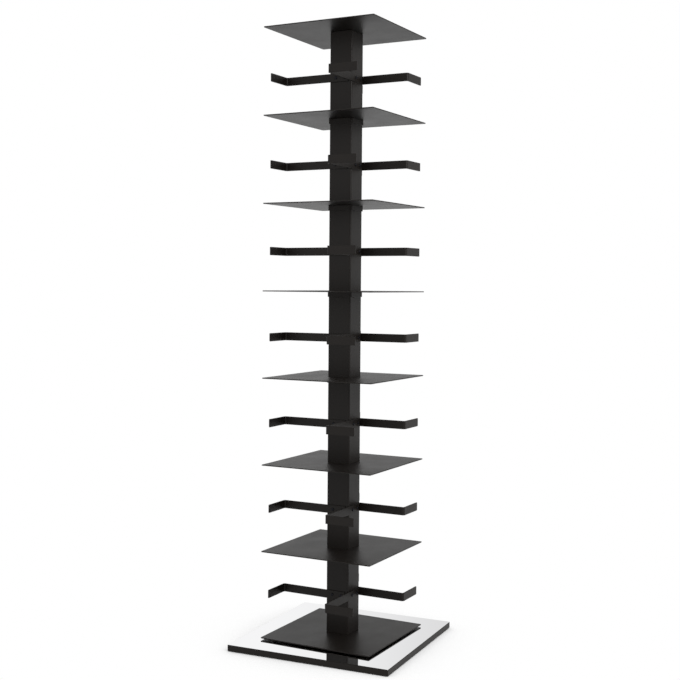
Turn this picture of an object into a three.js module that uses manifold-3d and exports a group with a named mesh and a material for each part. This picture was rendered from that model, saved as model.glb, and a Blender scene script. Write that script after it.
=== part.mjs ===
// A free-standing tower bookcase: seven square shelves and a top plate round one square steel
// column, which turns on a ball bearing let into a heavy square base. Millimetres, +Z up, with
// the origin on the floor under the column's axis. The X and Y axes follow the tower's sides.
import * as THREE from 'three';
import { mergeVertices } from 'three/addons/utils/BufferGeometryUtils.js';
import Module from 'manifold-3d';

const wasm = await Module();
wasm.setup();

// Clearances that several pieces share.
const seatGap = 0.3; // between a piece and what it rests on or fits round
const cutOverrun = 1; // how far a cutter reaches past the surface it opens

// The tower: its levels, plates and column.
const levelCount = 7;
const levelPitch = 261; // from one shelf's top to the next
const plateWidth = 365;
const plateThickness = 3;
const plateCornerRadius = 3;
const columnWidth = 75;
const columnWall = 3;
const columnCornerRadius = 5;
const collarWall = 3;
const collarHeight = 15;
const topPlugThickness = 10;
const topScrewSpacing = 40; // side of the square that the top plate's four screws make
const topScrewRadius = 2.6;
const topScrewHeadRadius = 5;

// The row stops: flat bars screwed to the column and bent across the next row's end.
const stopHeight = 25;
const stopThickness = 3;
const stopAxisHeight = 119; // from the shelf's top to the bar's centre line
const stopStandoff = 2; // from the plates' edge to the inner face of the bent end
const stopReach = 95; // length of the bent end, from the arm's inner face
const stopBendRadius = 4; // inside the bend
const stopTipRadius = 2.5;
const stopTail = 27; // how far the bar runs past the column's middle line
const stopScrewOffset = 15; // each of its two screws from that line
const stopScrewRadius = 2.6;

// The base: plate, bonded cover sheet and glides.
const baseWidth = 515;
const basePlateThickness = 16.7;
const baseCornerRadius = 2;
const baseTurn = 3.4; // degrees that the base stands round from the tower's sides
const coverThickness = 1.5;
const coverHoleMargin = 1.5; // from the bearing's edge to the edge of the cover sheet's hole
const glideHeight = 2; // from the floor to the plate
const glideRadius = 15;
const glideChamfer = 0.6;
const glidePegRadius = 4;
const glidePegLength = 6;
const glidePegClearance = 1; // from a peg's end to the bottom of its hole
const glideInset = 40; // from the base's edges to a glide's centre
const floatHeight = 4; // from the base's top face to the lowest shelf

// The turntable: two grooved rings, and balls in a cage between them.
const raceRadius = 50;
const raceThickness = 3.5;
const raceSpacing = 1.6; // between the two rings
const ballRadius = 2.5;
const ballCount = 20;
const ballCircleRadius = 42;
const grooveClearance = 0.3;
const cageThickness = 0.9;
const cageWidth = 8;

// The pivot: a shoulder bolt from below through a flanged bush into the column's foot.
const footPlugThickness = 20;
const spigotRadius = 28;
const shoulderRadius = 6;
const threadRadius = 5;
const headRadius = 10;
const headHeight = 5;
const headRecess = 0.8; // from the plate's underside up to the bolt's head
const socketRadius = 4.6; // across the corners of the hexagon socket
const socketDepth = 3;
const bushWall = 2;
const bushFlangeRadius = 11;
const bushFlangeThickness = 1.2;
const counterboreClearance = 1;
const washerRadius = 10;
const washerThickness = 2;
const nutRadius = 9.8; // across the corners
const nutHeight = 8;
const boltStandout = 3; // from the nut's top to the bolt's end

// Facet counts.
const cornerSteps = 2;
const bendSteps = 4;
const screwSides = 8;
const smallSides = 16;
const bearingSides = 48;
const grooveSteps = 6;
const ballSides = 8;
const hexagonSides = 6;

// Heights that follow, from the floor up.
const basePlateTop = glideHeight + basePlateThickness;
const coverBottom = basePlateTop + seatGap;
const baseTop = coverBottom + coverThickness;
const lowestShelfBottom = baseTop + floatHeight;
const lowestShelfTop = lowestShelfBottom + plateThickness;
const upperRaceBottom = lowestShelfBottom - seatGap - raceThickness;
const lowerRaceTop = upperRaceBottom - raceSpacing;
const ballCentre = lowerRaceTop + raceSpacing / 2;
const lowerRaceBottom = lowerRaceTop - raceThickness;
const pocketFloor = lowerRaceBottom - seatGap;
const headBottom = glideHeight + headRecess;
const headTop = headBottom + headHeight;
const flangeBottom = headTop + seatGap;
const flangeTop = flangeBottom + bushFlangeThickness;
const counterboreTop = flangeTop + seatGap;
const columnBottom = lowestShelfTop + seatGap;
const topPlateBottom = lowestShelfBottom + levelCount * levelPitch;
const columnTop = topPlateBottom - seatGap;
const footPlugTop = columnBottom + footPlugThickness;
const washerBottom = footPlugTop + seatGap;
const nutBottom = washerBottom + washerThickness + seatGap;
const boltTop = nutBottom + nutHeight + boltStandout;

const plateHalf = plateWidth / 2;
const columnHalf = columnWidth / 2;
const columnBoreHalf = columnHalf - columnWall;
const columnBoreRadius = Math.max(columnCornerRadius - columnWall, seatGap);
const plugHalf = columnBoreHalf - seatGap;
const plugRadius = columnBoreRadius;
const fullTurn = 2 * Math.PI;
const quarterTurn = Math.PI / 2;

// Outlines, as lists of points in the plane.

function arc(x, y, radius, from, to, steps) {
  return Array.from({ length: steps + 1 }, (_, i) => {
    const angle = from + (i / steps) * (to - from);
    return new THREE.Vector2(x + radius * Math.cos(angle), y + radius * Math.sin(angle));
  });
}

function circle(x, y, radius, sides) {
  return arc(x, y, radius, 0, fullTurn, sides).slice(0, sides);
}

function roundedSquare(half, radius) {
  const corner = half - radius;
  return [[1, 1], [-1, 1], [-1, -1], [1, -1]].flatMap(([sx, sy], i) =>
    arc(sx * corner, sy * corner, radius, i * quarterTurn, (i + 1) * quarterTurn, cornerSteps));
}

// The four points of a square pattern, as the sign of x and of y.
const fourCorners = [[-1, -1], [1, -1], [1, 1], [-1, 1]];

// Solids with their axis along +Z.

function extrude(outline, holes, from, to) {
  const shape = new THREE.Shape(outline);
  shape.holes = holes.map((points) => new THREE.Path(points));
  const geometry = new THREE.ExtrudeGeometry(shape, { depth: to - from, bevelEnabled: false });
  return geometry.translate(0, 0, from);
}

// A profile of [radius, height] points, anticlockwise, turned about the axis. A profile that
// starts on the axis ends on it, and any other closes on its first point.
function revolve(profile, sides) {
  const points = profile.map(([radius, height]) => new THREE.Vector2(radius, height));
  if (points[0].x > 0) points.push(points[0].clone());
  return new THREE.LatheGeometry(points, sides).rotateX(quarterTurn);
}

function ring(inner, outer, from, to, sides) {
  return revolve([[inner, from], [outer, from], [outer, to], [inner, to]], sides);
}

function rod(radius, from, to, sides) {
  return extrude(circle(0, 0, radius, sides), [], from, to);
}

// Booleans.

function toSolid(geometry) {
  const bare = geometry.clone();
  bare.deleteAttribute('normal');
  bare.deleteAttribute('uv');
  const merged = mergeVertices(bare);
  const corners = [...merged.index.array];
  const faces = corners.flatMap((a, i) => (i % 3 ? [] : [[a, corners[i + 1], corners[i + 2]]]));
  return new wasm.Manifold(new wasm.Mesh({
    numProp: 3,
    vertProperties: merged.attributes.position.array,
    triVerts: new Uint32Array(faces.filter((face) => new Set(face).size === 3).flat()),
  }));
}

function toGeometry(solid) {
  const { vertProperties, triVerts } = solid.getMesh();
  const geometry = new THREE.BufferGeometry();
  geometry.setAttribute('position', new THREE.BufferAttribute(vertProperties, 3));
  geometry.setIndex(new THREE.BufferAttribute(triVerts, 1));
  geometry.computeVertexNormals();
  return geometry;
}

function join(...geometries) {
  return toGeometry(geometries.map(toSolid).reduce((sum, solid) => sum.add(solid)));
}

function cut(geometry, ...cutters) {
  return toGeometry(cutters.map(toSolid).reduce((rest, solid) => rest.subtract(solid), toSolid(geometry)));
}

function common(...geometries) {
  return toGeometry(geometries.map(toSolid).reduce((rest, solid) => rest.intersect(solid)));
}

// Finishes.

function finish(color, roughness, metalness) {
  return new THREE.MeshStandardMaterial({ color, roughness, metalness, flatShading: true });
}

const blackPowderCoat = finish(0x2a2624, 0.55, 0);
const mirrorSteel = finish(0xd9dbdc, 0.04, 1);
const bearingSteel = finish(0xb4b7ba, 0.25, 1);
const zincPlate = finish(0xa6a9a8, 0.38, 1);
const bronze = finish(0xb08a4e, 0.35, 1);
const brassCage = finish(0xc2a15a, 0.4, 1);
const nylon = finish(0x1d1d1e, 0.7, 0);

function piece(name, geometry, material) {
  const mesh = new THREE.Mesh(geometry, material);
  mesh.name = name;
  return mesh;
}

// The base. Its plate is milled for the bearing from above and for the pivot bolt from below.

function basePlate() {
  const blank = extrude(roundedSquare(baseWidth / 2, baseCornerRadius), [], glideHeight, basePlateTop);
  const pocket = rod(raceRadius + seatGap, pocketFloor, basePlateTop + cutOverrun, bearingSides);
  const bore = rod(bushRadius() + seatGap, glideHeight - cutOverrun, basePlateTop + cutOverrun, smallSides);
  const counterbore = rod(
    bushFlangeRadius + counterboreClearance, glideHeight - cutOverrun, counterboreTop, smallSides);
  const pegHoleTop = glideHeight + glidePegLength + glidePegClearance;
  const pegHoles = glidePlaces().map(([x, y]) =>
    rod(glidePegRadius + seatGap, glideHeight - cutOverrun, pegHoleTop, smallSides).translate(x, y, 0));
  return cut(blank, pocket, bore, counterbore, ...pegHoles);
}

function bushRadius() {
  return shoulderRadius + seatGap + bushWall;
}

function glidePlaces() {
  const offset = baseWidth / 2 - glideInset;
  return fourCorners.map(([sx, sy]) => [sx * offset, sy * offset]);
}

// The bonded film under the cover sheet is the seat gap.
function baseCoverSheet() {
  const hole = circle(0, 0, raceRadius + seatGap + coverHoleMargin, bearingSides);
  return extrude(roundedSquare(baseWidth / 2, baseCornerRadius), [hole], coverBottom, baseTop);
}

function baseGlide() {
  const seat = glideHeight - seatGap;
  return revolve([
    [0, 0],
    [glideRadius - glideChamfer, 0],
    [glideRadius, glideChamfer],
    [glideRadius, seat],
    [glidePegRadius, seat],
    [glidePegRadius, glideHeight + glidePegLength],
    [0, glideHeight + glidePegLength],
  ], smallSides);
}

function pivotBush() {
  const inner = shoulderRadius + seatGap;
  const outer = bushRadius();
  return revolve([
    [inner, flangeBottom],
    [bushFlangeRadius, flangeBottom],
    [bushFlangeRadius, flangeTop],
    [outer, flangeTop],
    [outer, pocketFloor],
    [inner, pocketFloor],
  ], smallSides);
}

// The turntable. Each ring has a groove whose arc is centred on the balls' centres.

function race(bottom, openTop) {
  const inner = spigotRadius + seatGap;
  const top = bottom + raceThickness;
  const grooveRadius = ballRadius + grooveClearance;
  const reach = Math.acos(raceSpacing / 2 / grooveRadius);
  const middle = openTop ? -quarterTurn : quarterTurn;
  const groove = arc(ballCircleRadius, ballCentre, grooveRadius, middle + reach, middle - reach, grooveSteps)
    .map(({ x, y }) => [x, y]);
  const profile = openTop
    ? [[inner, bottom], [raceRadius, bottom], [raceRadius, top], ...groove, [inner, top]]
    : [[inner, bottom], ...groove, [raceRadius, bottom], [raceRadius, top], [inner, top]];
  return revolve(profile, bearingSides);
}

function ballCage() {
  const bottom = ballCentre - cageThickness / 2;
  const top = ballCentre + cageThickness / 2;
  const cage = ring(
    ballCircleRadius - cageWidth / 2, ballCircleRadius + cageWidth / 2, bottom, top, bearingSides);
  const balls = Array.from({ length: ballCount }, (_, i) => {
    const angle = (i / ballCount) * fullTurn;
    return ball(bottom, top)
      .translate(ballCircleRadius * Math.cos(angle), ballCircleRadius * Math.sin(angle), 0);
  });
  return join(cage, ...balls);
}

// Its belt is as high as the cage is thick, with a cap of two bands above and below it.
function ball(beltBottom, beltTop) {
  const beltAngle = Math.asin((beltTop - beltBottom) / 2 / ballRadius);
  const shoulderAngle = (beltAngle + quarterTurn) / 2;
  const onBall = (angle) => [ballRadius * Math.cos(angle), ballCentre + ballRadius * Math.sin(angle)];
  const beltRadius = ballRadius * Math.cos(beltAngle);
  return revolve([
    [0, ballCentre - ballRadius],
    onBall(-shoulderAngle),
    [beltRadius, beltBottom],
    [beltRadius, beltTop],
    onBall(shoulderAngle),
    [0, ballCentre + ballRadius],
  ], ballSides);
}

// The pivot. The bolt's shoulder stops on the foot plug, which leaves the bush its running play.

function pivotBolt() {
  const shoulderTop = upperRaceBottom - seatGap;
  const turned = revolve([
    [0, headBottom],
    [headRadius, headBottom],
    [headRadius, headTop],
    [shoulderRadius, headTop],
    [shoulderRadius, shoulderTop],
    [threadRadius, shoulderTop],
    [threadRadius, boltTop],
    [0, boltTop],
  ], smallSides);
  const socket = rod(socketRadius, headBottom - cutOverrun, headBottom + socketDepth, hexagonSides);
  return cut(turned, socket);
}

function pivotWasher() {
  return ring(threadRadius + seatGap, washerRadius, washerBottom, washerBottom + washerThickness, smallSides);
}

function pivotNut() {
  const bore = circle(0, 0, threadRadius + seatGap, smallSides);
  return extrude(circle(0, 0, nutRadius, hexagonSides), [bore], nutBottom, nutBottom + nutHeight);
}

// The column and its plugs.

function column() {
  const tube = extrude(
    roundedSquare(columnHalf, columnCornerRadius), [roundedSquare(columnBoreHalf, columnBoreRadius)],
    columnBottom, columnTop);
  const drills = levels().flatMap((level) => [-1, 1].flatMap((side) => {
    const reach = columnHalf + cutOverrun;
    const drill = () => rod(stopScrewRadius, -reach, reach, screwSides).rotateX(quarterTurn);
    const height = stopCentre(level);
    const offset = side * stopScrewOffset;
    return [drill().translate(offset, 0, height), drill().rotateZ(quarterTurn).translate(0, offset, height)];
  }));
  return cut(tube, ...drills);
}

// The plug's square block fills the tube, and its round spigot centres the shelf and the upper ring.
function columnFootPlug() {
  const bore = circle(0, 0, threadRadius + seatGap, smallSides);
  return join(
    extrude(roundedSquare(plugHalf, plugRadius), [bore], columnBottom, footPlugTop),
    extrude(circle(0, 0, spigotRadius, bearingSides), [bore], upperRaceBottom, columnBottom));
}

function columnTopPlug() {
  return extrude(
    roundedSquare(plugHalf, plugRadius), topScrewHoles(), columnTop - topPlugThickness, columnTop);
}

function topScrewHoles() {
  const offset = topScrewSpacing / 2;
  return fourCorners.map(([sx, sy]) => circle(sx * offset, sy * offset, topScrewRadius, screwSides));
}

// The plates, with their underside at zero. The lowest is centred by the spigot, the others slide
// down over the column onto a collar, and the top plate is screwed to the plug.

function plate(...holes) {
  return extrude(roundedSquare(plateHalf, plateCornerRadius), holes, 0, plateThickness);
}

function lowestShelf() {
  return plate(circle(0, 0, spigotRadius + seatGap, bearingSides));
}

function columnSleeve() {
  return roundedSquare(columnHalf + seatGap, columnCornerRadius + seatGap);
}

function upperShelf() {
  return plate(columnSleeve());
}

function topPlate() {
  const offset = topScrewSpacing / 2;
  const sinkDepth = topScrewHeadRadius - topScrewRadius;
  const sinks = fourCorners.map(([sx, sy]) => revolve([
    [0, plateThickness - sinkDepth],
    [topScrewRadius, plateThickness - sinkDepth],
    [topScrewHeadRadius, plateThickness],
    [topScrewHeadRadius, plateThickness + cutOverrun],
    [0, plateThickness + cutOverrun],
  ], smallSides).translate(sx * offset, sy * offset, 0));
  return cut(plate(...topScrewHoles()), ...sinks);
}

// A collar, with its top where the shelf's underside is, less the seat gap.
function shelfCollar() {
  const outline = roundedSquare(columnHalf + seatGap + collarWall, columnCornerRadius + seatGap + collarWall);
  return extrude(outline, [columnSleeve()], -seatGap - collarHeight, -seatGap);
}

function levels() {
  return Array.from({ length: levelCount }, (_, i) => i + 1);
}

function shelfBottom(level) {
  return lowestShelfBottom + (level - 1) * levelPitch;
}

function stopCentre(level) {
  return shelfBottom(level) + plateThickness + stopAxisHeight;
}

// A row stop: the bar lies flat on the column's +X side, runs out past the front edge and bends
// round to +X. Its plan is extruded to the bar's width, then the two ends are rounded and drilled.

function rowStop() {
  const inner = columnHalf + seatGap;
  const outer = inner + stopThickness;
  const near = -plateHalf - stopStandoff;
  const far = near - stopThickness;
  const tip = inner + stopReach;
  const bendX = outer + stopBendRadius;
  const bendY = near + stopBendRadius;
  const plan = [
    new THREE.Vector2(tip, far),
    new THREE.Vector2(tip, near),
    ...arc(bendX, bendY, stopBendRadius, -quarterTurn, -2 * quarterTurn, bendSteps),
    new THREE.Vector2(outer, stopTail),
    new THREE.Vector2(inner, stopTail),
    ...arc(bendX, bendY, stopBendRadius + stopThickness, -2 * quarterTurn, -quarterTurn, bendSteps),
  ];
  const bar = extrude(plan, [], -stopHeight / 2, stopHeight / 2);
  const drills = [-1, 1].map((side) =>
    rod(stopScrewRadius, inner - cutOverrun, outer + cutOverrun, screwSides)
      .rotateY(quarterTurn).translate(0, side * stopScrewOffset, 0));
  const tipKeeper = endKeeper(tip).rotateX(quarterTurn);
  const tailKeeper = endKeeper(stopTail).rotateX(quarterTurn).rotateZ(quarterTurn);
  return cut(common(bar, tipKeeper, tailKeeper), ...drills);
}

// A block that is wider than the bar up to the corners of its end, and follows those corners.
function endKeeper(end) {
  const half = stopHeight / 2;
  const cornerX = end - stopTipRadius;
  const cornerY = half - stopTipRadius;
  const outline = [
    new THREE.Vector2(-plateWidth, -half - cutOverrun),
    new THREE.Vector2(cornerX, -half - cutOverrun),
    ...arc(cornerX, -cornerY, stopTipRadius, -quarterTurn, 0, cornerSteps),
    ...arc(cornerX, cornerY, stopTipRadius, 0, quarterTurn, cornerSteps),
    new THREE.Vector2(cornerX, half + cutOverrun),
    new THREE.Vector2(-plateWidth, half + cutOverrun),
  ];
  return extrude(outline, [], -plateWidth, plateWidth);
}

// Assembly.

const bookcase = new THREE.Group();
const base = new THREE.Group();
const tower = new THREE.Group();
base.rotation.z = THREE.MathUtils.degToRad(baseTurn);
bookcase.add(base, tower);

base.add(
  piece('base_plate', basePlate(), blackPowderCoat),
  piece('base_cover_sheet', baseCoverSheet(), mirrorSteel),
  piece('pivot_bush', pivotBush(), bronze),
  piece('lower_race', race(lowerRaceBottom, true), bearingSteel),
);
glidePlaces().forEach(([x, y], i) => {
  const glide = piece(`base_glide_${i + 1}`, baseGlide(), nylon);
  glide.position.set(x, y, 0);
  base.add(glide);
});

bookcase.add(piece('ball_cage', ballCage(), brassCage));

tower.add(
  piece('upper_race', race(upperRaceBottom, false), bearingSteel),
  piece('pivot_bolt', pivotBolt(), zincPlate),
  piece('pivot_washer', pivotWasher(), zincPlate),
  piece('pivot_nut', pivotNut(), zincPlate),
  piece('column', column(), blackPowderCoat),
  piece('column_foot_plug', columnFootPlug(), zincPlate),
  piece('column_top_plug', columnTopPlug(), blackPowderCoat),
);

const stopBar = rowStop();
for (const level of levels()) {
  const shelf = piece(`shelf_${level}`, level === 1 ? lowestShelf() : upperShelf(), blackPowderCoat);
  shelf.position.z = shelfBottom(level);
  tower.add(shelf);
  if (level > 1) {
    const collar = piece(`shelf_collar_${level}`, shelfCollar(), blackPowderCoat);
    collar.position.z = shelfBottom(level);
    tower.add(collar);
  }
  ['front', 'right', 'back', 'left'].forEach((side, i) => {
    const stop = piece(`row_stop_${level}_${side}`, stopBar, blackPowderCoat);
    stop.position.z = stopCentre(level);
    stop.rotation.z = i * quarterTurn;
    tower.add(stop);
  });
}

const crown = piece('top_plate', topPlate(), blackPowderCoat);
crown.position.z = topPlateBottom;
tower.add(crown);

export default bookcase;
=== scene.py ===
import math

import bmesh
import bpy
from mathutils import Matrix, Vector


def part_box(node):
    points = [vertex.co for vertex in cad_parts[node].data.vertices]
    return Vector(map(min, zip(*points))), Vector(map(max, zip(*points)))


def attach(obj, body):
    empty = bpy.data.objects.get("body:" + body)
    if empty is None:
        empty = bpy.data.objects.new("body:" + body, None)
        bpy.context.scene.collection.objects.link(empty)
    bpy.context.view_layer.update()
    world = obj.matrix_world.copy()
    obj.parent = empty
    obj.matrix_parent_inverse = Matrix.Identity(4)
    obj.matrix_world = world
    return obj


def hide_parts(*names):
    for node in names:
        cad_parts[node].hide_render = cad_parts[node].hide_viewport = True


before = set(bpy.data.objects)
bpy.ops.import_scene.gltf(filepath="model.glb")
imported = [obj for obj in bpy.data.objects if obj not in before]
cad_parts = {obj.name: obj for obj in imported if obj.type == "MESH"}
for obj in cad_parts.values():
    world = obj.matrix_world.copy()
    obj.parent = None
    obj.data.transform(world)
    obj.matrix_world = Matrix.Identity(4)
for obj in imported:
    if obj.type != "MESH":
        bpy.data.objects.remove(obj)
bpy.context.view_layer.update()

# The camera stands off one corner of the tower at about half its height, with a short telephoto lens.
# Its place, heading and focal length are fitted to corners of the plates and of the base.
FRAME_PIXELS = 680
FOCAL_PIXELS = 1160.5
AXIS_ABOVE_CENTRE_PIXELS = 22
CAMERA_PLACE = Vector((1.6588, -3.1260, 1.0905))
CAMERA_HEADING = math.radians(28.188)
CAMERA_PITCH = math.radians(1.648)
CAMERA_ROLL = math.radians(0.413)

camera_data = bpy.data.cameras.new("photo_camera")
camera_data.lens = camera_data.sensor_width * FOCAL_PIXELS / FRAME_PIXELS
camera_data.shift_y = -AXIS_ABOVE_CENTRE_PIXELS / FRAME_PIXELS
camera = bpy.data.objects.new("photo_camera", camera_data)
bpy.context.scene.collection.objects.link(camera)
bpy.context.scene.camera = camera
camera_turn = (
    Matrix.Rotation(CAMERA_HEADING, 4, "Z")
    @ Matrix.Rotation(math.radians(90) - CAMERA_PITCH, 4, "X")
    @ Matrix.Rotation(CAMERA_ROLL, 4, "Z")
)
camera.matrix_world = Matrix.Translation(CAMERA_PLACE) @ camera_turn
bpy.context.scene.view_settings.view_transform = "Standard"


# The studio is a pale floor in a white surround. Both look white to the camera. Reflections show the
# surround brightest behind the tower on the left, and a light grey elsewhere. The open floor is plain
# white, and near the base, which shades it, its own paint and shadow show.
FLOOR_REACH = 30.0
FLOOR_COLOUR = "#f4f4f4"
CONTACT_REACH = 0.35
CONTACT_DEPTH = 2.0
CONTACT_SAMPLES = 8
SURROUND_LIGHT = 0.74
SURROUND_MIRRORED = 0.76
BRIGHT_SIDE = (-0.72, 0.64, 0.28)
BRIGHT_FROM = math.cos(math.radians(26))
BRIGHT_FULL = math.cos(math.radians(14))
LAMP_TARGET = Vector((0, 0, 0.9))


def linear(hex_colour):
    """An sRGB hex value as a linear colour."""
    shares = [int(hex_colour[i:i + 2], 16) / 255 for i in (1, 3, 5)]
    return (*[s / 12.92 if s <= 0.04045 else ((s + 0.055) / 1.055) ** 2.4 for s in shares], 1.0)


def node(tree, kind, inputs=None, **settings):
    """Adds a node. An input takes a value or the output that feeds it."""
    made = tree.nodes.new(kind)
    for name, value in settings.items():
        setattr(made, name, value)
    for key, value in (inputs or {}).items():
        if isinstance(value, bpy.types.NodeSocket):
            tree.links.new(value, made.inputs[key])
        else:
            made.inputs[key].default_value = value
    return made


def empty_material(name):
    """A new material and its node tree, which holds nothing yet."""
    material = bpy.data.materials.new(name)
    material.use_nodes = True
    material.node_tree.nodes.clear()
    return material, material.node_tree


def seen_directly(tree):
    """1 for rays from the camera, a reflection or a refraction, and 0 for diffuse light."""
    path = node(tree, "ShaderNodeLightPath").outputs
    mirrored = node(tree, "ShaderNodeMath", {0: path["Is Glossy Ray"], 1: path["Is Transmission Ray"]},
                    operation="MAXIMUM")
    return node(tree, "ShaderNodeMath", {0: path["Is Camera Ray"], 1: mirrored.outputs[0]},
                operation="MAXIMUM").outputs[0]


def square_places(half):
    """The four corners of a square round the axis."""
    return [(sx * half, sy * half) for sx, sy in ((-1, -1), (1, -1), (1, 1), (-1, 1))]


surround = bpy.data.worlds.new("white_surround")
surround.use_nodes = True
tree = surround.node_tree
tree.nodes.clear()
lighting = node(tree, "ShaderNodeBackground", {"Color": linear("#ffffff"), "Strength": SURROUND_LIGHT})
direction = node(tree, "ShaderNodeTexCoord").outputs["Generated"]
aim = node(tree, "ShaderNodeVectorMath", {0: direction, 1: BRIGHT_SIDE}, operation="DOT_PRODUCT")
mirrored = node(tree, "ShaderNodeMapRange", {
    "Value": aim.outputs["Value"], "From Min": BRIGHT_FROM, "From Max": BRIGHT_FULL,
    "To Min": SURROUND_MIRRORED, "To Max": 1.0,
}, interpolation_type="SMOOTHSTEP")
brightness = node(tree, "ShaderNodeMath", {
    0: node(tree, "ShaderNodeLightPath").outputs["Is Camera Ray"], 1: mirrored.outputs[0],
}, operation="MAXIMUM")
backdrop = node(tree, "ShaderNodeBackground", {"Color": linear("#ffffff"), "Strength": brightness.outputs[0]})
shown = node(tree, "ShaderNodeMixShader", {
    0: seen_directly(tree), 1: lighting.outputs[0], 2: backdrop.outputs[0],
})
node(tree, "ShaderNodeOutputWorld", {"Surface": shown.outputs[0]})
bpy.context.scene.world = surround

floor_paint, tree = empty_material("matt_white_studio_paint")
matt = node(tree, "ShaderNodeBsdfDiffuse", {"Color": linear(FLOOR_COLOUR)})
white = node(tree, "ShaderNodeEmission", {"Color": linear("#ffffff"), "Strength": 1.0})
openness = node(tree, "ShaderNodeAmbientOcclusion", {"Distance": CONTACT_REACH}, samples=CONTACT_SAMPLES)
clear = node(tree, "ShaderNodeMath", {0: openness.outputs["AO"], 1: CONTACT_DEPTH}, operation="POWER")
share = node(tree, "ShaderNodeMath", {0: clear.outputs[0], 1: seen_directly(tree)}, operation="MULTIPLY")
shown = node(tree, "ShaderNodeMixShader", {0: share.outputs[0], 1: matt.outputs[0], 2: white.outputs[0]})
node(tree, "ShaderNodeOutputMaterial", {"Surface": shown.outputs[0]})

floor_mesh = bpy.data.meshes.new("studio_floor")
floor_mesh.from_pydata([(x, y, 0) for x, y in square_places(FLOOR_REACH)], [], [(0, 1, 2, 3)])
floor_mesh.materials.append(floor_paint)
studio_floor = bpy.data.objects.new("studio_floor", floor_mesh)
bpy.context.scene.collection.objects.link(studio_floor)


def softbox(name, place, size, watts):
    """A square soft lamp that faces the middle of the tower."""
    lamp = bpy.data.lights.new(name, "AREA")
    lamp.shape = "SQUARE"
    lamp.size = size
    lamp.energy = watts
    holder = bpy.data.objects.new(name, lamp)
    bpy.context.scene.collection.objects.link(holder)
    holder.location = place
    holder.rotation_euler = (LAMP_TARGET - Vector(place)).to_track_quat("-Z", "Y").to_euler()


softbox("key_softbox", place=(2.7, -0.9, 2.3), size=1.6, watts=48)
softbox("fill_softbox", place=(-1.9, -2.9, 1.7), size=2.0, watts=8)


# The base plate is heavy square steel plate, milled for the bearing from above and for the bolt from
# below, then powder coated black. Its long edges are broken by a file before coating.
MM = 0.001
BASE_TURN = math.radians(3.4)
BASE_WIDTH = 515 * MM
BASE_CORNER = 2 * MM
BASE_EDGE = 0.7 * MM
POCKET_RADIUS = 50.3 * MM
POCKET_FLOOR = 15.3 * MM
BORE_RADIUS = 8.6 * MM
BORE_EASING = 0.3 * MM
COUNTERBORE_RADIUS = 12 * MM
COUNTERBORE_TOP = 9.6 * MM
PEG_HOLE_RADIUS = 4.3 * MM
PEG_HOLE_TOP = 9 * MM
GLIDE_INSET = 40 * MM
CUTTER_OVERRUN = 1 * MM
SHARPEST_BEND = 0.02 * MM
CORNER_STEPS = 8
ROUND_STEPS = 64
HOLE_STEPS = 24
EASING_STEPS = 3
SMOOTH_ANGLE = math.radians(35)
LIKE_AREAS = 0.002 * MM ** 2
WELD_DISTANCE = 0.001 * MM


def rounded_rectangle(length, height, radius, centre=(0, 0)):
    """An outline that gives its points for any inset."""
    def points(inset):
        half_x, half_y = length / 2 - inset, height / 2 - inset
        bend = max(radius - inset, SHARPEST_BEND)
        corners = ((1, 1), (-1, 1), (-1, -1), (1, -1))
        return [
            (centre[0] + sx * (half_x - bend) + bend * math.cos(math.radians(90 * (i + k / CORNER_STEPS))),
             centre[1] + sy * (half_y - bend) + bend * math.sin(math.radians(90 * (i + k / CORNER_STEPS))))
            for i, (sx, sy) in enumerate(corners) for k in range(CORNER_STEPS + 1)
        ]
    return points


def rounded_square(width, radius):
    """The outline of a square round the axis, with rounded corners."""
    return rounded_rectangle(width, width, radius)


def circle(radius, centre=(0, 0), steps=ROUND_STEPS):
    """A round outline that gives its points for any inset."""
    def points(inset):
        turns = [math.tau * i / steps for i in range(steps)]
        return [(centre[0] + (radius - inset) * math.cos(t), centre[1] + (radius - inset) * math.sin(t))
                for t in turns]
    return points


def join_rings(mesh, rings):
    """Faces between each ring of vertices and the next. A ring of one vertex is a point on the axis."""
    for low, high in zip(rings, rings[1:]):
        count = max(len(low), len(high))
        for i in range(count):
            corners = []
            for vertex in (low[i % len(low)], low[(i + 1) % len(low)],
                           high[(i + 1) % len(high)], high[i % len(high)]):
                if vertex not in corners:
                    corners.append(vertex)
            mesh.faces.new(corners)


def shade(piece):
    """Shades a piece smooth but for its sharp edges. The largest face at a corner keeps its own normal."""
    kept_normals = piece.data.attributes.get("custom_normal")
    if kept_normals:
        piece.data.attributes.remove(kept_normals)
    piece.data.shade_smooth()
    piece.data.set_sharp_from_angle(angle=SMOOTH_ANGLE)
    flatten = piece.modifiers.new("flat_faces", "WEIGHTED_NORMAL")
    flatten.keep_sharp = True
    flatten.weight = 100
    flatten.thresh = LIKE_AREAS


def finish_mesh(name, mesh):
    """Makes an object of a mesh."""
    bmesh.ops.recalc_face_normals(mesh, faces=mesh.faces)
    data = bpy.data.meshes.new(name)
    mesh.to_mesh(data)
    mesh.free()
    piece = bpy.data.objects.new(name, data)
    bpy.context.scene.collection.objects.link(piece)
    shade(piece)
    return piece


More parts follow.
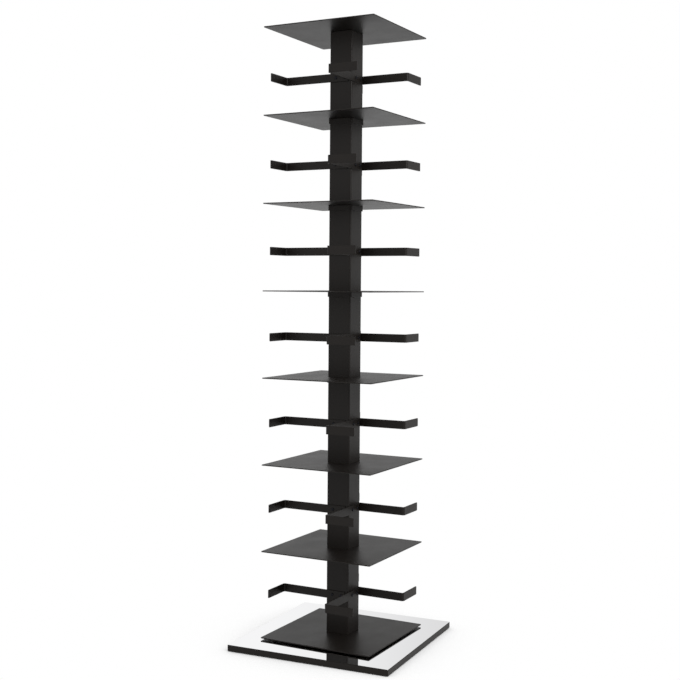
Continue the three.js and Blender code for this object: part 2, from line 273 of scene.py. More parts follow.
def slab(name, outline, holes, bottom, top, edge):
    """Plate cut to an outline with holes through it, with all its edges eased."""
    quarter = [math.radians(90 * i / EASING_STEPS) for i in range(EASING_STEPS + 1)]
    rows = [(bottom + edge * (1 - math.cos(a)), edge * (1 - math.sin(a))) for a in quarter]
    rows += [(top - edge * (1 - math.cos(a)), edge * (1 - math.sin(a))) for a in reversed(quarter)]
    mesh = bmesh.new()
    rims = [[], []]
    for shape, side in [(outline, 1), *[(hole, -1) for hole in holes]]:
        rings = [[mesh.verts.new((x, y, z)) for x, y in shape(side * inset)] for z, inset in rows]
        join_rings(mesh, rings)
        for rim, ring in zip(rims, (rings[0], rings[-1])):
            rim += [mesh.edges.get((a, b)) for a, b in zip(ring, ring[1:] + ring[:1])]
    for rim in rims:
        bmesh.ops.triangle_fill(mesh, edges=rim, use_beauty=True)
    return finish_mesh(name, mesh)


def rod(radius, bottom, top):
    """The profile of a plain round rod."""
    return [(0, bottom), (radius, bottom), (radius, top), (0, top)]


def eased(profile, radius):
    """A closed profile with its corners rounded, but for those on the axis."""
    points = []
    for i, here in enumerate(profile):
        before, after = Vector(profile[i - 1]), Vector(profile[(i + 1) % len(profile)])
        corner = Vector(here)
        if corner.x == 0:
            points.append(tuple(corner))
            continue
        back, ahead = before - corner, after - corner
        start = corner + back.normalized() * min(radius, back.length / 2)
        end = corner + ahead.normalized() * min(radius, ahead.length / 2)
        for step in range(EASING_STEPS + 1):
            share = step / EASING_STEPS
            points.append(tuple(start.lerp(corner, share).lerp(corner.lerp(end, share), share)))
    return points


def turned(name, profile, steps=ROUND_STEPS):
    """A piece turned on a lathe from a profile of radius and height. One off the axis is a ring."""
    mesh = bmesh.new()
    rings = []
    for radius, z in profile:
        turns = [math.tau * i / steps for i in range(steps if radius > 0 else 1)]
        rings.append([mesh.verts.new((radius * math.cos(t), radius * math.sin(t), z)) for t in turns])
    if profile[0][0] > 0:
        rings.append(rings[0])
    join_rings(mesh, rings)
    return finish_mesh(name, mesh)


def machine(piece, tool, operation="DIFFERENCE"):
    """Takes the tool's shape out of a piece, or joins it or keeps what both share, and removes the tool."""
    piece.modifiers.clear()
    step = piece.modifiers.new("machining", "BOOLEAN")
    step.operation = operation
    step.object = tool
    step.solver = "EXACT"
    bpy.context.view_layer.update()
    data = bpy.data.meshes.new_from_object(piece.evaluated_get(bpy.context.evaluated_depsgraph_get()))
    piece.modifiers.clear()
    mesh = bmesh.new()
    mesh.from_mesh(data)
    bmesh.ops.remove_doubles(mesh, verts=mesh.verts, dist=WELD_DISTANCE)
    mesh.to_mesh(data)
    mesh.free()
    piece.data = data
    bpy.data.objects.remove(tool)
    shade(piece)


def fit(piece, material, slot, body, *nodes):
    """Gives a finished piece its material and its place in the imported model."""
    piece.data.materials.clear()
    piece.data.materials.append(material)
    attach(piece, body)
    if nodes:
        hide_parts(*nodes)


# Polyester powder is sprayed on steel and baked. It gives a satin near-black with a warm cast and a
# fine orange peel, drawn at 1.2 mm, a little coarser than the real one, so that close views show it.
PEEL_SPACING = 1.2 * MM
PEEL_DEPTH = 0.12 * MM
CLOUD_SPACING = 70 * MM
COAT_SMOOTHEST = 0.36
COAT_ROUGHEST = 0.48

powder_coat, tree = empty_material("black_polyester_powder_coat_sprayed")
place = node(tree, "ShaderNodeTexCoord").outputs["Object"]
peel = node(tree, "ShaderNodeTexNoise", {"Vector": place, "Scale": 1 / PEEL_SPACING, "Detail": 2.0})
cloud = node(tree, "ShaderNodeTexNoise", {"Vector": place, "Scale": 1 / CLOUD_SPACING, "Detail": 3.0})
tone = node(tree, "ShaderNodeMix", {0: cloud.outputs[0], 6: linear("#14110f"), 7: linear("#1c1815")},
            data_type="RGBA")
satin = node(tree, "ShaderNodeMapRange", {
    "Value": cloud.outputs[0], "To Min": COAT_SMOOTHEST, "To Max": COAT_ROUGHEST,
})
skin = node(tree, "ShaderNodeBump", {"Height": peel.outputs[0], "Distance": PEEL_DEPTH, "Strength": 0.8})
coat = node(tree, "ShaderNodeBsdfPrincipled", {
    "Base Color": tone.outputs[2], "Roughness": satin.outputs[0], "Normal": skin.outputs[0],
    "IOR": 1.45, "Specular IOR Level": 0.2,
})
node(tree, "ShaderNodeOutputMaterial", {"Surface": coat.outputs[0]})

base_bottom, base_top = (corner.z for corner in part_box("base_plate"))
base_slab = slab("base_slab", rounded_square(BASE_WIDTH, BASE_CORNER), [], base_bottom, base_top, BASE_EDGE)
base_slab_bores = turned("base_slab_bores", eased([
    (0, base_bottom - CUTTER_OVERRUN),
    (COUNTERBORE_RADIUS, base_bottom - CUTTER_OVERRUN),
    (COUNTERBORE_RADIUS, COUNTERBORE_TOP),
    (BORE_RADIUS, COUNTERBORE_TOP),
    (BORE_RADIUS, POCKET_FLOOR),
    (POCKET_RADIUS, POCKET_FLOOR),
    (POCKET_RADIUS, base_top + CUTTER_OVERRUN),
    (0, base_top + CUTTER_OVERRUN),
], BORE_EASING))
machine(base_slab, base_slab_bores)
glide_places = square_places(BASE_WIDTH / 2 - GLIDE_INSET)
for x, y in glide_places:
    drill = turned("peg_drill", rod(PEG_HOLE_RADIUS, base_bottom - CUTTER_OVERRUN, PEG_HOLE_TOP))
    drill.location = (x, y, 0)
    machine(base_slab, drill)
base_slab.rotation_euler.z = BASE_TURN
fit(base_slab, powder_coat, "black_powder_coat", "base", "base_plate")


# Four round glides are pushed into blind holes under the base's corners. They are moulded nylon, and
# the mould's spark-eroded face leaves them a fine matt grain.
GLIDE_RADIUS = 15 * MM
GLIDE_CHAMFER = 0.6 * MM
GLIDE_EASING = 0.3 * MM
GLIDE_SEAT = 1.7 * MM
GLIDE_PEG_RADIUS = 4 * MM
GLIDE_TOP = 8 * MM
NYLON_GRAIN = 0.5 * MM
NYLON_GRAIN_DEPTH = 0.03 * MM

nylon, tree = empty_material("black_nylon_moulded")
place = node(tree, "ShaderNodeTexCoord").outputs["Object"]
grain = node(tree, "ShaderNodeTexNoise", {"Vector": place, "Scale": 1 / NYLON_GRAIN, "Detail": 4.0})
tone = node(tree, "ShaderNodeMix", {0: grain.outputs[0], 6: linear("#171718"), 7: linear("#202021")},
            data_type="RGBA")
skin = node(tree, "ShaderNodeBump", {
    "Height": grain.outputs[0], "Distance": NYLON_GRAIN_DEPTH, "Strength": 0.6,
})
moulded = node(tree, "ShaderNodeBsdfPrincipled", {
    "Base Color": tone.outputs[2], "Roughness": 0.62, "Normal": skin.outputs[0], "IOR": 1.53,
})
node(tree, "ShaderNodeOutputMaterial", {"Surface": moulded.outputs[0]})

for i, (x, y) in enumerate(glide_places, 1):
    glide = turned(f"nylon_glide_{i}", eased([
        (0, 0),
        (GLIDE_RADIUS - GLIDE_CHAMFER, 0),
        (GLIDE_RADIUS, GLIDE_CHAMFER),
        (GLIDE_RADIUS, GLIDE_SEAT),
        (GLIDE_PEG_RADIUS, GLIDE_SEAT),
        (GLIDE_PEG_RADIUS, GLIDE_TOP),
        (0, GLIDE_TOP),
    ], GLIDE_EASING))
    glide.location = Matrix.Rotation(BASE_TURN, 3, "Z") @ Vector((x, y, 0))
    fit(glide, nylon, "nylon_glide", "base", f"base_glide_{i}")


# The cover sheet is thin stainless steel, bonded over the whole top of the base, with a round opening
# for the bearing. Its face is polished to a mirror, with faint waves and hand marks in its reflections.
# Its rim is coated black with the plate's own edge.
SHEET_HOLE_RADIUS = 51.8 * MM
SHEET_EDGE = 0.25 * MM
WAVE_SPACING = 90 * MM
WAVE_DEPTH = 0.02 * MM
SMUDGE_SPACING = 45 * MM
SMUDGE_FROM = 0.4
SMUDGE_FULL = 0.75
MIRROR_CLEAN = 0.008
MIRROR_SMUDGED = 0.035

mirror_steel, tree = empty_material("stainless_steel_mirror_polished")
place = node(tree, "ShaderNodeTexCoord").outputs["Object"]
wave = node(tree, "ShaderNodeTexNoise", {"Vector": place, "Scale": 1 / WAVE_SPACING, "Detail": 1.0})
smudge = node(tree, "ShaderNodeTexNoise", {"Vector": place, "Scale": 1 / SMUDGE_SPACING, "Detail": 5.0})
sheen = node(tree, "ShaderNodeMapRange", {
    "Value": smudge.outputs[0], "From Min": SMUDGE_FROM, "From Max": SMUDGE_FULL,
    "To Min": MIRROR_CLEAN, "To Max": MIRROR_SMUDGED,
})
ripple = node(tree, "ShaderNodeBump", {"Height": wave.outputs[0], "Distance": WAVE_DEPTH, "Strength": 1.0})
polish = node(tree, "ShaderNodeBsdfPrincipled", {
    "Base Color": linear("#f3f3f4"), "Metallic": 1.0, "Roughness": sheen.outputs[0],
    "Normal": ripple.outputs[0],
})
node(tree, "ShaderNodeOutputMaterial", {"Surface": polish.outputs[0]})

sheet_bottom, sheet_top = (corner.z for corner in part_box("base_cover_sheet"))
mirror_sheet = slab("mirror_sheet", rounded_square(BASE_WIDTH, BASE_CORNER), [circle(SHEET_HOLE_RADIUS)],
                    sheet_bottom, sheet_top, SHEET_EDGE)
mirror_sheet.rotation_euler.z = BASE_TURN
fit(mirror_sheet, mirror_steel, "mirror_steel", "base", "base_cover_sheet")
mirror_sheet.data.materials.append(powder_coat)
for face in mirror_sheet.data.polygons:
    if max(abs(face.center.x), abs(face.center.y)) > BASE_WIDTH / 2 - SHEET_EDGE:
        face.material_index = 1


# The pivot bush is turned from bearing bronze, and is pressed into the base from below up to its
# flange. The lathe leaves fine rings round it, drawn at 0.8 mm so that a close view shows them.
BUSH_INNER = 6.3 * MM
BUSH_OUTER = 8.3 * MM
BUSH_EASING = 0.25 * MM
FLANGE_RADIUS = 11 * MM
FLANGE_BOTTOM = 8.1 * MM
FLANGE_TOP = 9.3 * MM
RING_TEXTURE_FACTOR = 20
PATCH_SPACING = 12 * MM
PATCH_SMOOTHER = 0.05
PATCH_ROUGHER = 0.07


def turned_metal(name, colour, roughness, spacing, depth):
    """A metal with the rings that a lathe or a grinder leaves round the axis, at the given spacing.

    At a scale of 1 the ring texture repeats every tau / 20.
    """
    material, tree = empty_material(name)
    place = node(tree, "ShaderNodeTexCoord").outputs["Object"]
    marks = node(tree, "ShaderNodeTexWave", {
        "Vector": place, "Scale": math.tau / (RING_TEXTURE_FACTOR * spacing),
        "Distortion": 0.4, "Detail": 2.0,
    }, wave_type="RINGS", rings_direction="Z")
    patches = node(tree, "ShaderNodeTexNoise", {"Vector": place, "Scale": 1 / PATCH_SPACING, "Detail": 3.0})
    sheen = node(tree, "ShaderNodeMapRange", {
        "Value": patches.outputs[0],
        "To Min": roughness - PATCH_SMOOTHER, "To Max": roughness + PATCH_ROUGHER,
    })
    skin = node(tree, "ShaderNodeBump", {"Height": marks.outputs[1], "Distance": depth, "Strength": 0.5})
    metal = node(tree, "ShaderNodeBsdfPrincipled", {
        "Base Color": linear(colour), "Metallic": 1.0, "Roughness": sheen.outputs[0],
        "Normal": skin.outputs[0],
    })
    node(tree, "ShaderNodeOutputMaterial", {"Surface": metal.outputs[0]})
    return material


bronze = turned_metal("bearing_bronze_turned", "#b08a4e", roughness=0.30, spacing=0.8 * MM, depth=0.01 * MM)
bush = turned("bronze_bush", eased([
    (BUSH_INNER, FLANGE_BOTTOM),
    (FLANGE_RADIUS, FLANGE_BOTTOM),
    (FLANGE_RADIUS, FLANGE_TOP),
    (BUSH_OUTER, FLANGE_TOP),
    (BUSH_OUTER, POCKET_FLOOR),
    (BUSH_INNER, POCKET_FLOOR),
], BUSH_EASING))
fit(bush, bronze, "bronze", "base", "pivot_bush")


# The turntable's two rings are hardened bearing steel, each with one ground groove for the balls. The
# lower one lies in the base's pocket, and the upper one under the lowest shelf.
RACE_INNER = 28.3 * MM
RACE_OUTER = 50 * MM
RACE_EASING = 0.25 * MM
BALL_CIRCLE = 42 * MM
BALL_CENTRE = 19.9 * MM
GROOVE_RADIUS = 2.8 * MM
RACE_GAP = 1.6 * MM
GROOVE_STEPS = 24

bearing_steel = turned_metal("bearing_steel_ground", "#b4b7ba", roughness=0.22, spacing=0.5 * MM,
                             depth=0.006 * MM)


def race_ring(name, node_name, groove_up):
    """A ring with its groove in its upper or in its lower face."""
    bottom, top = (corner.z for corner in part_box(node_name))
    reach = math.acos(RACE_GAP / 2 / GROOVE_RADIUS)
    middle = math.radians(-90 if groove_up else 90)
    turns = [middle + reach * (1 - 2 * i / GROOVE_STEPS) for i in range(GROOVE_STEPS + 1)]
    groove = [(BALL_CIRCLE + GROOVE_RADIUS * math.cos(t), BALL_CENTRE + GROOVE_RADIUS * math.sin(t))
              for t in turns]
    if groove_up:
        profile = [(RACE_INNER, bottom), (RACE_OUTER, bottom), (RACE_OUTER, top), *groove, (RACE_INNER, top)]
    else:
        profile = [(RACE_INNER, bottom), *groove, (RACE_OUTER, bottom), (RACE_OUTER, top), (RACE_INNER, top)]
    return turned(name, eased(profile, RACE_EASING), 2 * ROUND_STEPS)


fit(race_ring("race_ring_lower", "lower_race", True), bearing_steel, "bearing_steel", "base", "lower_race")
fit(race_ring("race_ring_upper", "upper_race", False), bearing_steel, "bearing_steel", "tower", "upper_race")


# A flat brass cage, pressed from sheet, keeps the balls apart. Each sits in a round hole a little
# larger than itself. The balls are chrome steel, lapped bright.
CAGE_INNER = 38 * MM
CAGE_OUTER = 46 * MM
CAGE_THICKNESS = 0.9 * MM
CAGE_EDGE = 0.15 * MM
BALL_COUNT = 20
BALL_RADIUS = 2.5 * MM
BALL_PLAY = 0.15 * MM
BALL_BANDS = 16

brass = turned_metal("brass_sheet_pressed", "#c2a15a", roughness=0.34, spacing=1.2 * MM, depth=0.004 * MM)
ball_steel = turned_metal("chrome_steel_lapped", "#c9ccce", roughness=0.10, spacing=0.3 * MM,
                          depth=0.001 * MM)
ball_places = [
    (BALL_CIRCLE * math.cos(math.tau * i / BALL_COUNT), BALL_CIRCLE * math.sin(math.tau * i / BALL_COUNT))
    for i in range(BALL_COUNT)
]
cage_holes = [circle(BALL_RADIUS + BALL_PLAY, place, HOLE_STEPS) for place in ball_places]
cage = slab("brass_cage", circle(CAGE_OUTER, steps=2 * ROUND_STEPS),
            [circle(CAGE_INNER, steps=2 * ROUND_STEPS), *cage_holes],
            BALL_CENTRE - CAGE_THICKNESS / 2, BALL_CENTRE + CAGE_THICKNESS / 2, CAGE_EDGE)
fit(cage, brass, "brass_cage", "cage", "ball_cage")

ball_mesh = bmesh.new()
for x, y in ball_places:
    bmesh.ops.create_uvsphere(ball_mesh, u_segments=2 * BALL_BANDS, v_segments=BALL_BANDS, radius=BALL_RADIUS,
                              matrix=Matrix.Translation((x, y, BALL_CENTRE)))
balls = finish_mesh("bearing_balls", ball_mesh)
fit(balls, ball_steel, "bearing_steel", "cage")


# The shoulder bolt comes up through the bush and clamps the tower's foot plug. It is zinc plated, with
# a low head and a hexagon socket below, and a rolled thread above its shoulder.
HEAD_BOTTOM = 2.8 * MM
HEAD_TOP = 7.8 * MM
HEAD_RADIUS = 10 * MM
SHOULDER_RADIUS = 6 * MM
SHOULDER_TOP = 20.4 * MM
BOLT_EASING = 0.6 * MM
THREAD_RADIUS = 5 * MM
THREAD_PITCH = 1.5 * MM
THREAD_DEPTH = 0.8 * MM
BOLT_TOP = 61.4 * MM
SOCKET_RADIUS = 4.6 * MM
SOCKET_DEPTH = 3 * MM
SOCKET_EDGE = 0.1 * MM
THREAD_ROWS_PER_PITCH = 8
THREAD_STEPS = 48

zinc = turned_metal("zinc_plate_bright", "#a9adae", roughness=0.32, spacing=1.0 * MM, depth=0.004 * MM)


def threaded_rod(name, bottom, top):
    """A rolled thread as one surface whose radius rises and falls along the helix, fading at its ends."""
    mesh = bmesh.new()
    count = round((top - bottom) / THREAD_PITCH * THREAD_ROWS_PER_PITCH)
    rings = [[mesh.verts.new((0, 0, bottom))]]
    for row in range(count + 1):
        z = bottom + (top - bottom) * row / count
        fade = min(1.0, (z - bottom) / THREAD_PITCH, (top - z) / THREAD_PITCH)
        ring = []
        for i in range(THREAD_STEPS):
            turn = math.tau * i / THREAD_STEPS
            share = ((z - bottom) / THREAD_PITCH - turn / math.tau) % 1.0
            crest = 1 - abs(2 * share - 1)
            radius = THREAD_RADIUS - THREAD_DEPTH * (1 - fade * crest)
            ring.append(mesh.verts.new((radius * math.cos(turn), radius * math.sin(turn), z)))
        rings.append(ring)
    rings.append([mesh.verts.new((0, 0, top))])
    join_rings(mesh, rings)
    return finish_mesh(name, mesh)


def hexagon(radius):
    """A hexagon's outline round the axis, given by the radius to its corners."""
    return circle(radius, steps=6)


bolt = turned("shoulder_bolt", eased([
    (0, HEAD_BOTTOM),
    (HEAD_RADIUS, HEAD_BOTTOM),
    (HEAD_RADIUS, HEAD_TOP),
    (SHOULDER_RADIUS, HEAD_TOP),
    (SHOULDER_RADIUS, SHOULDER_TOP),
    (0, SHOULDER_TOP),
], BOLT_EASING))
machine(bolt, slab("bolt_socket", hexagon(SOCKET_RADIUS), [], HEAD_BOTTOM - CUTTER_OVERRUN,
                   HEAD_BOTTOM + SOCKET_DEPTH, SOCKET_EDGE))
machine(bolt, threaded_rod("bolt_thread", SHOULDER_TOP - CUTTER_OVERRUN, BOLT_TOP), "UNION")
fit(bolt, zinc, "zinc_plate", "tower", "pivot_bolt")


# A plain washer and a hexagon nut draw the bolt up from inside the column. Both are zinc plated, and
# the nut's corners are chamfered all round at both ends.
BOLT_HOLE_RADIUS = 5.3 * MM
WASHER_OUTER = 10 * MM
WASHER_EDGE = 0.25 * MM
NUT_CORNER_RADIUS = 9.8 * MM
NUT_CHAMFER_RADIUS = 8.6 * MM
NUT_CHAMFER = 0.7 * MM
NUT_EDGE = 0.1 * MM

washer_bottom, washer_top = (corner.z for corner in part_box("pivot_washer"))
washer = slab("plain_washer", circle(WASHER_OUTER), [circle(BOLT_HOLE_RADIUS)],
              washer_bottom, washer_top, WASHER_EDGE)
fit(washer, zinc, "zinc_plate", "tower", "pivot_washer")

nut_bottom, nut_top = (corner.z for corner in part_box("pivot_nut"))
nut = slab("hexagon_nut", hexagon(NUT_CORNER_RADIUS), [circle(BOLT_HOLE_RADIUS)],
           nut_bottom, nut_top, NUT_EDGE)
machine(nut, turned("nut_chamfer", [
    (0, nut_bottom - CUTTER_OVERRUN),
    (NUT_CHAMFER_RADIUS, nut_bottom),
    (NUT_CORNER_RADIUS + CUTTER_OVERRUN, nut_bottom + 2 * NUT_CHAMFER),
    (NUT_CORNER_RADIUS + CUTTER_OVERRUN, nut_top - 2 * NUT_CHAMFER),
    (NUT_CHAMFER_RADIUS, nut_top),
    (0, nut_top + CUTTER_OVERRUN),
]), "INTERSECT")
fit(nut, zinc, "zinc_plate", "tower", "pivot_nut")


# The foot plug is a milled steel block that fills the column's foot. Its round spigot reaches down
# through the lowest shelf and into the upper ring, and keeps both on the axis.
PLUG_WIDTH = 68.4 * MM
PLUG_CORNER = 2 * MM
PLUG_EDGE = 0.5 * MM
SPIGOT_RADIUS = 28 * MM
SPIGOT_CHAMFER = 0.5 * MM
BLOCK_BOTTOM = 27.8 * MM

spigot_bottom, block_top = (corner.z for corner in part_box("column_foot_plug"))
foot_plug = slab("foot_plug", rounded_square(PLUG_WIDTH, PLUG_CORNER), [], BLOCK_BOTTOM, block_top, PLUG_EDGE)
machine(foot_plug, turned("foot_spigot", [
    (0, spigot_bottom),
    (SPIGOT_RADIUS - SPIGOT_CHAMFER, spigot_bottom),
    (SPIGOT_RADIUS, spigot_bottom + SPIGOT_CHAMFER),
    (SPIGOT_RADIUS, BLOCK_BOTTOM + CUTTER_OVERRUN),
    (0, BLOCK_BOTTOM + CUTTER_OVERRUN),
], 2 * ROUND_STEPS), "UNION")
machine(foot_plug, turned("plug_drill", rod(BOLT_HOLE_RADIUS, spigot_bottom - CUTTER_OVERRUN,
                                            block_top + CUTTER_OVERRUN)))
fit(foot_plug, zinc, "zinc_plate", "tower", "column_foot_plug")


# The column is one square steel tube, drilled on each side for the row stops' screws and powder
# coated. Its rounded corners come from cold forming.
LEVEL_COUNT = 7
COLUMN_WIDTH = 75 * MM
COLUMN_CORNER = 5 * MM
COLUMN_EDGE = 0.4 * MM
COLUMN_BORE_WIDTH = 69 * MM
COLUMN_BORE_CORNER = 2 * MM
STOP_SCREW_OFFSET = 15 * MM
STOP_SCREW_HOLE = 2.6 * MM
SIDES = ("front", "right", "back", "left")

stop_heights = [
    (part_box(f"row_stop_{level}_front")[0].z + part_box(f"row_stop_{level}_front")[1].z) / 2
    for level in range(1, LEVEL_COUNT + 1)
]
column_bottom, column_top = (corner.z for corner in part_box("column"))
tube = slab("column_tube", rounded_square(COLUMN_WIDTH, COLUMN_CORNER),
            [rounded_square(COLUMN_BORE_WIDTH, COLUMN_BORE_CORNER)], column_bottom, column_top, COLUMN_EDGE)
drills = bmesh.new()
for height in stop_heights:
    for offset in (-STOP_SCREW_OFFSET, STOP_SCREW_OFFSET):
        for axis, place in (("X", (offset, 0, height)), ("Y", (0, offset, height))):
            bmesh.ops.create_cone(
                drills, cap_ends=True, segments=HOLE_STEPS, radius1=STOP_SCREW_HOLE, radius2=STOP_SCREW_HOLE,
                depth=COLUMN_WIDTH + 2 * CUTTER_OVERRUN,
                matrix=Matrix.Translation(place) @ Matrix.Rotation(math.radians(90), 4, axis))
machine(tube, finish_mesh("column_drills", drills))
fit(tube, powder_coat, "black_powder_coat", "tower", "column")


# The seven shelves are laser-cut from 3 mm steel sheet. The lowest has a round hole for the spigot, and
# the others a square one that slides over the column. Their cut edges are eased before coating.
SHELF_WIDTH = 365 * MM
SHELF_CORNER = 3 * MM
SHELF_EDGE = 0.5 * MM
SLEEVE_WIDTH = 75.6 * MM
SLEEVE_CORNER = 5.3 * MM
SPIGOT_HOLE = 28.3 * MM

for level in range(1, LEVEL_COUNT + 1):
    bottom, top = (corner.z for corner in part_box(f"shelf_{level}"))
    hole = circle(SPIGOT_HOLE) if level == 1 else rounded_square(SLEEVE_WIDTH, SLEEVE_CORNER)
    sheet = slab(f"shelf_sheet_{level}", rounded_square(SHELF_WIDTH, SHELF_CORNER), [hole],
                 bottom, top, SHELF_EDGE)
    fit(sheet, powder_coat, "black_powder_coat", "tower", f"shelf_{level}")


# Under each upper shelf a square collar grips the column. A short weld bead on each of its four sides
# joins it to the column from below, and is coated over with the rest.
COLLAR_WIDTH = 81.6 * MM
COLLAR_CORNER = 8.3 * MM
COLLAR_EDGE = 0.4 * MM
BEAD_LENGTH = 36 * MM
BEAD_RADIUS = 1.5 * MM
BEAD_RIPPLE = 0.16 * MM
BEAD_RIPPLE_SPACING = 2.4 * MM
BEAD_OUT = 0.5 * MM
BEAD_STEP = 0.4 * MM
BEAD_SIDES = 12


def weld_bead(mesh, quarter, height):
    """One bead along a side of the column, thicker at each ripple and thin at both ends."""
    turn = Matrix.Rotation(math.radians(90 * quarter), 4, "Z")
    middle = COLUMN_WIDTH / 2 + BEAD_OUT
    count = round(BEAD_LENGTH / BEAD_STEP)
    rings = [[mesh.verts.new(turn @ Vector((middle, -BEAD_LENGTH / 2, height)))]]
    for row in range(1, count):
        y = BEAD_LENGTH * (row / count - 0.5)
        end = min(1.0, math.sqrt((BEAD_LENGTH / 2 - abs(y)) / (2 * BEAD_RADIUS)))
        ripple = BEAD_RIPPLE * abs(math.sin(math.pi * y / BEAD_RIPPLE_SPACING))
        radius = (BEAD_RADIUS - ripple) * end
        ring = []
        for i in range(BEAD_SIDES):
            around = math.tau * i / BEAD_SIDES
            spot = Vector((middle + radius * math.cos(around), y, height + radius * math.sin(around)))
            ring.append(mesh.verts.new(turn @ spot))
        rings.append(ring)
    rings.append([mesh.verts.new(turn @ Vector((middle, BEAD_LENGTH / 2, height)))])
    join_rings(mesh, rings)


for level in range(2, LEVEL_COUNT + 1):
    bottom, top = (corner.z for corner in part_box(f"shelf_collar_{level}"))
    collar = slab(f"collar_{level}", rounded_square(COLLAR_WIDTH, COLLAR_CORNER),
                  [rounded_square(SLEEVE_WIDTH, SLEEVE_CORNER)], bottom, top, COLLAR_EDGE)
    fit(collar, powder_coat, "black_powder_coat", "tower", f"shelf_collar_{level}")
    bead_mesh = bmesh.new()
    for quarter in range(4):
        weld_bead(bead_mesh, quarter, bottom - BEAD_OUT)
    fit(finish_mesh(f"collar_weld_{level}", bead_mesh), powder_coat, "black_powder_coat", "tower")


# A row stop is a flat steel bar, drilled for two screws, bent square near one end and powder coated.
# Its arm lies on the column, and its bent end crosses the open end of the next row.
STOP_HEIGHT = 25 * MM
STOP_THICKNESS = 3 * MM
STOP_TAIL = 27 * MM
STOP_ARM_FACE = 39.3 * MM
STOP_BEND_CENTRE = (44.8 * MM, -180.5 * MM)
STOP_BEND_RADIUS = 5.5 * MM
STOP_TIP = 132.8 * MM
STOP_CORNER = 2.5 * MM
STOP_EDGE = 0.45 * MM
BEND_STEPS = 16

arm_length = STOP_TAIL - STOP_BEND_CENTRE[1]
bend_length = STOP_BEND_RADIUS * math.pi / 2
end_length = STOP_TIP - STOP_BEND_CENTRE[0]
bar_length = arm_length + bend_length + end_length


def bent(point):
    """Where a point of the flat bar goes. The bar lies along X, with its width along Y, flat in Z."""
    along, height, depth = point
    if along <= arm_length:
        return Vector((STOP_ARM_FACE + depth, STOP_TAIL - along, height))
    if along >= arm_length + bend_length:
        past = along - arm_length - bend_length
        return Vector((STOP_BEND_CENTRE[0] + past, STOP_BEND_CENTRE[1] - STOP_BEND_RADIUS + depth, height))
    turn = math.pi + (along - arm_length) / STOP_BEND_RADIUS
    reach = STOP_BEND_RADIUS - depth
    return Vector((STOP_BEND_CENTRE[0] + reach * math.cos(turn),
                   STOP_BEND_CENTRE[1] + reach * math.sin(turn), height))


def copies_at_stops(pattern):
    """A copy of the pattern at each row stop, given with its level and its side. The pattern is removed."""
    copies = []
    for level, height in enumerate(stop_heights, 1):
        for quarter, side in enumerate(SIDES):
            piece = pattern.copy()
            bpy.context.scene.collection.objects.link(piece)
            piece.rotation_euler.z = math.radians(90 * quarter)
            piece.location.z = height
            copies.append((level, side, piece))
    bpy.data.objects.remove(pattern)
    return copies


flat_bar = slab(
    "stop_blank", rounded_rectangle(bar_length, STOP_HEIGHT, STOP_CORNER, (bar_length / 2, 0)),
    [circle(STOP_SCREW_HOLE, (STOP_TAIL + side * STOP_SCREW_OFFSET, 0), HOLE_STEPS) for side in (-1, 1)],
    -STOP_THICKNESS / 2, STOP_THICKNESS / 2, STOP_EDGE)
bar_mesh = bmesh.new()
bar_mesh.from_mesh(flat_bar.data)
bpy.data.objects.remove(flat_bar)
for step in range(BEND_STEPS + 1):
    bmesh.ops.bisect_plane(
        bar_mesh, geom=[*bar_mesh.verts, *bar_mesh.edges, *bar_mesh.faces], dist=WELD_DISTANCE,
        plane_co=(arm_length + bend_length * step / BEND_STEPS, 0, 0), plane_no=(1, 0, 0))
for vertex in bar_mesh.verts:
    vertex.co = bent(vertex.co)

for level, side, bar in copies_at_stops(finish_mesh("stop_bar_pattern", bar_mesh)):
    bar.name = f"stop_bar_{level}_{side}"
    fit(bar, powder_coat, "black_powder_coat", "tower", f"row_stop_{level}_{side}")


# Two M5 button-head screws hold each row stop. They are blackened steel with a domed head, a hexagon
# socket and a shank that goes through the arm into the column's wall.
BUTTON_RADIUS = 4.75 * MM
BUTTON_HEIGHT = 2.75 * MM
BUTTON_FLAT_RADIUS = 2.4 * MM
BUTTON_RIM = 0.45 * MM
SHANK_RADIUS = 2.4 * MM
SHANK_LENGTH = 7.5 * MM
SHANK_CHAMFER = 0.5 * MM
KEY_RADIUS = 1.73 * MM
KEY_DEPTH = 1.6 * MM
KEY_EDGE = 0.05 * MM
STOP_OUTER_FACE = 40.8 * MM
DOME_STEPS = 8
SCREW_STEPS = 32

black_oxide = turned_metal("steel_black_oxide", "#26262a", roughness=0.36, spacing=0.9 * MM, depth=0.003 * MM)
dome_turns = [math.radians(90) * step / DOME_STEPS for step in range(DOME_STEPS + 1)]
dome = [(BUTTON_FLAT_RADIUS + (BUTTON_RADIUS - BUTTON_FLAT_RADIUS) * math.cos(turn),
         BUTTON_RIM + (BUTTON_HEIGHT - BUTTON_RIM) * math.sin(turn)) for turn in dome_turns]
button_screw = turned("button_screw_pattern", [
    (0, -SHANK_LENGTH),
    (SHANK_RADIUS - SHANK_CHAMFER, -SHANK_LENGTH),
    (SHANK_RADIUS, -SHANK_LENGTH + SHANK_CHAMFER),
    (SHANK_RADIUS, 0),
    (BUTTON_RADIUS, 0),
    *dome,
    (0, BUTTON_HEIGHT),
], SCREW_STEPS)
machine(button_screw, slab("button_key", hexagon(KEY_RADIUS), [], BUTTON_HEIGHT - KEY_DEPTH,
                           BUTTON_HEIGHT + CUTTER_OVERRUN, KEY_EDGE))
onto_column = Matrix.Rotation(math.radians(90), 4, "Y")
pair_mesh = bmesh.new()
for offset in (-STOP_SCREW_OFFSET, STOP_SCREW_OFFSET):
    one = button_screw.data.copy()
    one.transform(Matrix.Translation((STOP_OUTER_FACE, offset, 0)) @ onto_column)
    pair_mesh.from_mesh(one)
bpy.data.objects.remove(button_screw)

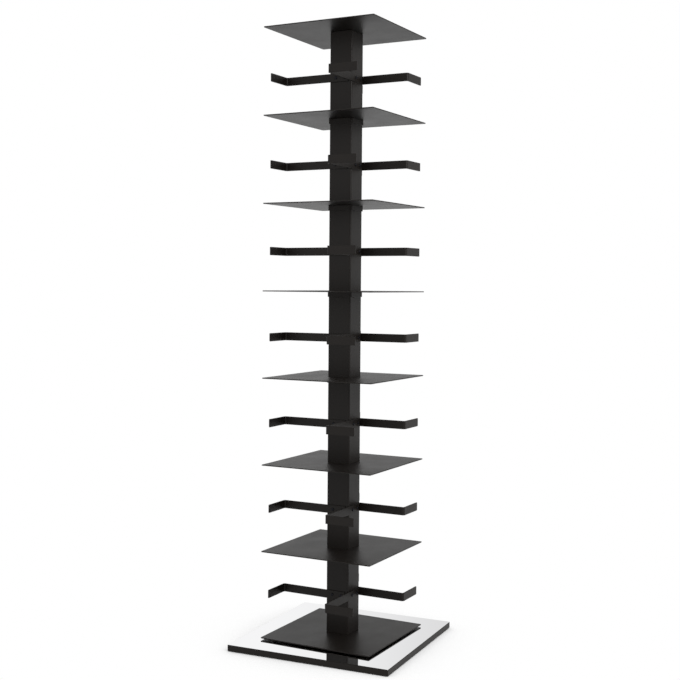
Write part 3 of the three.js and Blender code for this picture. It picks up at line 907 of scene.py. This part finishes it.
for level, side, pair in copies_at_stops(finish_mesh("screw_pair_pattern", pair_mesh)):
    pair.name = f"stop_screws_{level}_{side}"
    fit(pair, black_oxide, "black_powder_coat", "tower")


# The top plug is a steel block in the column's head with four screw holes. The top plate lies on the
# column and is held to it by four countersunk screws, flush with its face.
TOP_SCREW_SPACING = 40 * MM
TOP_SCREW_HOLE = 2.6 * MM
TOP_SCREW_HEAD = 5 * MM
TOP_EDGE = 0.2 * MM
SINK_DEPTH = 2.4 * MM
HEAD_PLAY = 0.15 * MM
TOP_SCREW_LENGTH = 12 * MM
TOP_KEY_DEPTH = 1.4 * MM

top_screw_places = square_places(TOP_SCREW_SPACING / 2)
screw_holes = [circle(TOP_SCREW_HOLE, place, HOLE_STEPS) for place in top_screw_places]
plug_bottom, plug_top = (corner.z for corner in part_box("column_top_plug"))
top_plug = slab("top_plug", rounded_square(PLUG_WIDTH, PLUG_CORNER), screw_holes,
                plug_bottom, plug_top, TOP_EDGE)
fit(top_plug, powder_coat, "black_powder_coat", "tower", "column_top_plug")

lid_bottom, lid_top = (corner.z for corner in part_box("top_plate"))
lid = slab("top_sheet", rounded_square(SHELF_WIDTH, SHELF_CORNER), screw_holes, lid_bottom, lid_top, TOP_EDGE)
for x, y in top_screw_places:
    sink = turned("countersink", [
        (0, lid_top - SINK_DEPTH),
        (TOP_SCREW_HOLE, lid_top - SINK_DEPTH),
        (TOP_SCREW_HEAD, lid_top),
        (TOP_SCREW_HEAD, lid_top + CUTTER_OVERRUN),
        (0, lid_top + CUTTER_OVERRUN),
    ], SCREW_STEPS)
    sink.location = (x, y, 0)
    machine(lid, sink)
fit(lid, powder_coat, "black_powder_coat", "tower", "top_plate")

for i, (x, y) in enumerate(top_screw_places, 1):
    screw = turned(f"top_screw_{i}", [
        (0, lid_top - TOP_SCREW_LENGTH),
        (SHANK_RADIUS, lid_top - TOP_SCREW_LENGTH),
        (SHANK_RADIUS, lid_top - SINK_DEPTH),
        (TOP_SCREW_HEAD - HEAD_PLAY, lid_top - HEAD_PLAY),
        (0, lid_top - HEAD_PLAY),
    ], SCREW_STEPS)
    machine(screw, slab("top_key", hexagon(KEY_RADIUS), [], lid_top - TOP_KEY_DEPTH,
                        lid_top + CUTTER_OVERRUN, KEY_EDGE))
    screw.location = (x, y, 0)
    fit(screw, black_oxide, "black_powder_coat", "tower")
